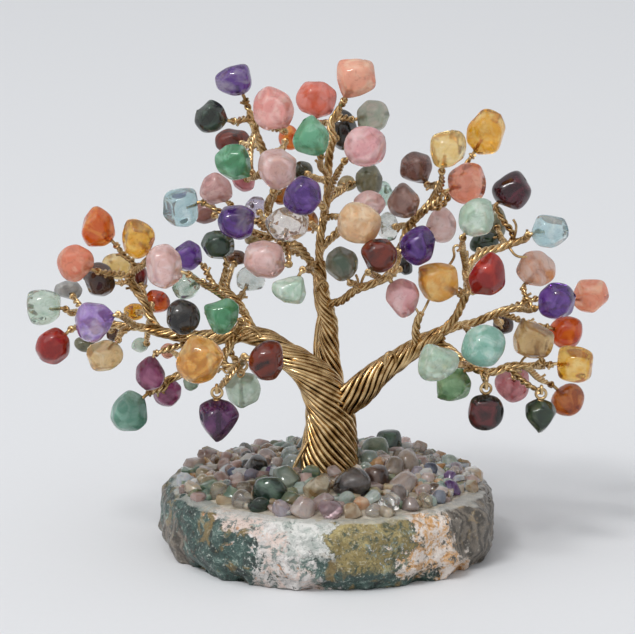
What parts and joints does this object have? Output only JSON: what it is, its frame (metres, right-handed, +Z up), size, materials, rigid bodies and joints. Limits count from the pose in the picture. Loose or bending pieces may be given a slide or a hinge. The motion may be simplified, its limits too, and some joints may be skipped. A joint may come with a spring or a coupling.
{
  "type": "gemstone tree ornament",
  "caption": "Small ornamental tree of twisted brass wire with tumbled gem beads on its twigs and a few hanging drops, standing in a rough stone slab under a heap of gem chips.",
  "frame": {"origin": "centre of the slab's flat underside", "axes": "+Z up, +X to the right as seen from the front and along the crown's width, +Y to the back"},
  "size_m": [0.1637, 0.09, 0.1401],
  "materials": {
    "brass_wire": "lacquered drawn wire",
    "moss_marble": "rough sawn and broken",
    "clear_glue": "set glue",
    "amazonite": "tumble polished",
    "amethyst": "tumble polished",
    "aquamarine": "tumble polished",
    "aventurine": "tumble polished",
    "bloodstone_drop": "tumble polished",
    "carnelian": "tumble polished",
    "citrine": "tumble polished",
    "clear_chips": "tumble polished",
    "clear_quartz": "tumble polished",
    "dark_chips": "tumble polished",
    "garnet": "tumble polished",
    "green_chips": "tumble polished",
    "honey_calcite": "tumble polished",
    "jade_drop": "tumble polished",
    "lilac_chips": "tumble polished",
    "mahogany_obsidian": "tumble polished",
    "moss_agate": "tumble polished",
    "moss_drop": "tumble polished",
    "obsidian": "tumble polished",
    "olive_jasper": "tumble polished",
    "pale_jade": "tumble polished",
    "peach_moonstone": "tumble polished",
    "pink_chips": "tumble polished",
    "plum_drop": "tumble polished",
    "red_jasper": "tumble polished",
    "rhodonite": "tumble polished",
    "rose_quartz": "tumble polished",
    "smoky_quartz": "tumble polished",
    "strawberry_quartz": "tumble polished",
    "tan_chips": "tumble polished"
  },
  "bodies": {
    "tree": {"amazonite_beads": "amazonite", "amethyst_beads": "amethyst", "aquamarine_beads": "aquamarine", "aventurine_beads": "aventurine", "carnelian_beads": "carnelian", "centre_left_branch": "brass_wire", "centre_limb_core": "brass_wire", "centre_limb_strands": "brass_wire", "centre_right_branch": "brass_wire", "centre_up_branch": "brass_wire", "citrine_beads": "citrine", "clear_chips": "clear_chips", "clear_quartz_beads": "clear_quartz", "crown_left_branch": "brass_wire", "crown_right_branch": "brass_wire", "crown_top_branch": "brass_wire", "dark_chips": "dark_chips", "garnet_beads": "garnet", "glue_bed": "clear_glue", "green_chips": "green_chips", "honey_calcite_beads": "honey_calcite", "left_hanger_branch": "brass_wire", "left_limb_core": "brass_wire", "left_limb_strands": "brass_wire", "left_limb_twigs": "brass_wire", "left_low_branch": "brass_wire", "left_rise_branch": "brass_wire", "left_tip_branch": "brass_wire", "left_upper_branch": "brass_wire", "lilac_chips": "lilac_chips", "mahogany_obsidian_beads": "mahogany_obsidian", "moss_agate_beads": "moss_agate", "obsidian_beads": "obsidian", "olive_jasper_beads": "olive_jasper", "pale_jade_beads": "pale_jade", "peach_moonstone_beads": "peach_moonstone", "pink_chips": "pink_chips", "red_jasper_beads": "red_jasper", "rhodonite_beads": "rhodonite", "right_arm_branch": "brass_wire", "right_limb_core": "brass_wire", "right_limb_strands": "brass_wire", "right_low_branch": "brass_wire", "right_rise_branch": "brass_wire", "right_spur_branch": "brass_wire", "right_tip_branch": "brass_wire", "rose_quartz_beads": "rose_quartz", "smoky_quartz_beads": "smoky_quartz", "stone_base": "moss_marble", "strawberry_quartz_beads": "strawberry_quartz", "tan_chips": "tan_chips", "trunk_core_wires": "brass_wire"},
    "bloodstone_drop": {"bloodstone_drop": "bloodstone_drop", "bloodstone_drop_wire": "brass_wire"},
    "jade_drop": {"jade_drop": "jade_drop", "jade_drop_wire": "brass_wire"},
    "moss_drop": {"moss_drop": "moss_drop", "moss_drop_wire": "brass_wire"},
    "plum_drop": {"plum_drop": "plum_drop", "plum_drop_wire": "brass_wire"}
  },
  "joints": [
    {"name": "bloodstone_drop_swing", "type": "hinge", "parent": "tree", "child": "bloodstone_drop", "pos_m": [0.0436, -0.018, 0.05063], "axis": [0, 1, 0], "range_deg": [-20, 20]},
    {"name": "jade_drop_swing", "type": "hinge", "parent": "tree", "child": "jade_drop", "pos_m": [-0.024, -0.0018, 0.05326], "axis": [0, 1, 0], "range_deg": [-20, 20]},
    {"name": "moss_drop_swing", "type": "hinge", "parent": "tree", "child": "moss_drop", "pos_m": [0.05906, -0.0144, 0.04831], "axis": [0, 1, 0], "range_deg": [-20, 20]},
    {"name": "plum_drop_swing", "type": "hinge", "parent": "tree", "child": "plum_drop", "pos_m": [-0.03003, -0.0306, 0.05264], "axis": [0, 1, 0], "range_deg": [-20, 20]}
  ]
}
